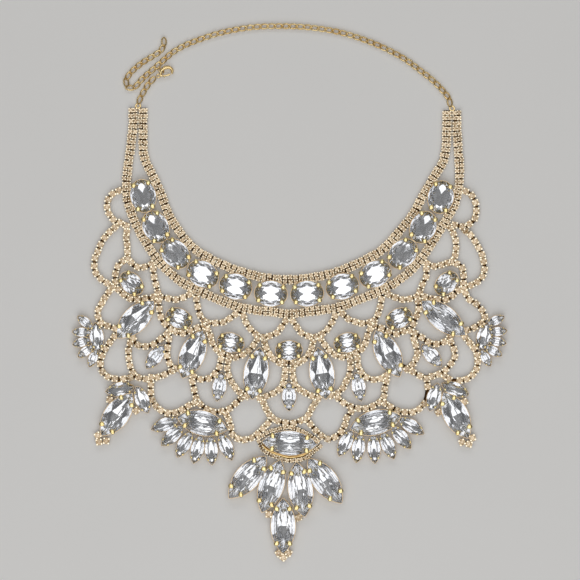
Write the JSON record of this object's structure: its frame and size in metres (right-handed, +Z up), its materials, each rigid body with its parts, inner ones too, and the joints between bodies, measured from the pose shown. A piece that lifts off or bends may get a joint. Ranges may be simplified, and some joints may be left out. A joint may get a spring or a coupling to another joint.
{
  "type": "statement choker necklace",
  "caption": "Wide crystal bib necklace: rows of claw-set stones and large faceted crystals soldered into an open net, closed behind the neck by curb chains and a lobster clasp.",
  "frame": {"origin": "on the surface that the necklace lies on, under the middle of its whole outline", "axes": "+Z up, out of the crystals' faces; +Y from the tip of the bib to the clasp chain; +X to the right as the necklace is seen from above"},
  "size_m": [0.209, 0.2592, 0.0064],
  "materials": {
    "champagne_brass": "polished, pale champagne gold plate",
    "gold_chain": "polished, warm gold plate",
    "crystal": "clear faceted glass with a foil back"
  },
  "bodies": {
    "necklace": {"bib_navette_1_left": "crystal", "bib_navette_1_right": "crystal", "bib_navette_2_left": "crystal", "bib_navette_2_right": "crystal", "bib_navette_3_left": "crystal", "bib_navette_3_right": "crystal", "clasp_body": "gold_chain", "collar_oval_1_left": "crystal", "collar_oval_1_right": "crystal", "collar_oval_2_left": "crystal", "collar_oval_2_right": "crystal", "collar_oval_3_left": "crystal", "collar_oval_3_right": "crystal", "collar_oval_4_left": "crystal", "collar_oval_4_right": "crystal", "collar_oval_5_left": "crystal", "collar_oval_5_right": "crystal", "collar_oval_6_left": "crystal", "collar_oval_6_right": "crystal", "drop_crossbar": "crystal", "drop_inner_left": "crystal", "drop_inner_right": "crystal", "drop_outer_left": "crystal", "drop_outer_right": "crystal", "drop_tip": "crystal", "extender_tail": "gold_chain", "fan_centre_left": "crystal", "fan_centre_right": "crystal", "hooked_link": "gold_chain", "long_chain": "gold_chain", "middle_navette": "crystal", "middle_oval": "crystal", "net_navette_1_left": "crystal", "net_navette_1_right": "crystal", "net_navette_2_left": "crystal", "net_navette_2_right": "crystal", "short_chain": "gold_chain", "side_drop_left": "crystal", "side_drop_right": "crystal", "small_oval_1_left": "crystal", "small_oval_1_right": "crystal", "small_oval_2_left": "crystal", "small_oval_2_right": "crystal", "small_oval_3_left": "crystal", "small_oval_3_right": "crystal", "soldered_net": "champagne_brass"},
    "lever": {"clasp_lever": "gold_chain"}
  },
  "joints": [
    {"name": "clasp_lever_hinge", "type": "hinge", "parent": "necklace", "child": "lever", "pos_m": [-0.06101, 0.10413, 0.00135], "axis": [0, 0, 1], "range_deg": [0, 22], "stiffness_Nm_per_rad": 0.002, "springref_deg": -11.46}
  ]
}
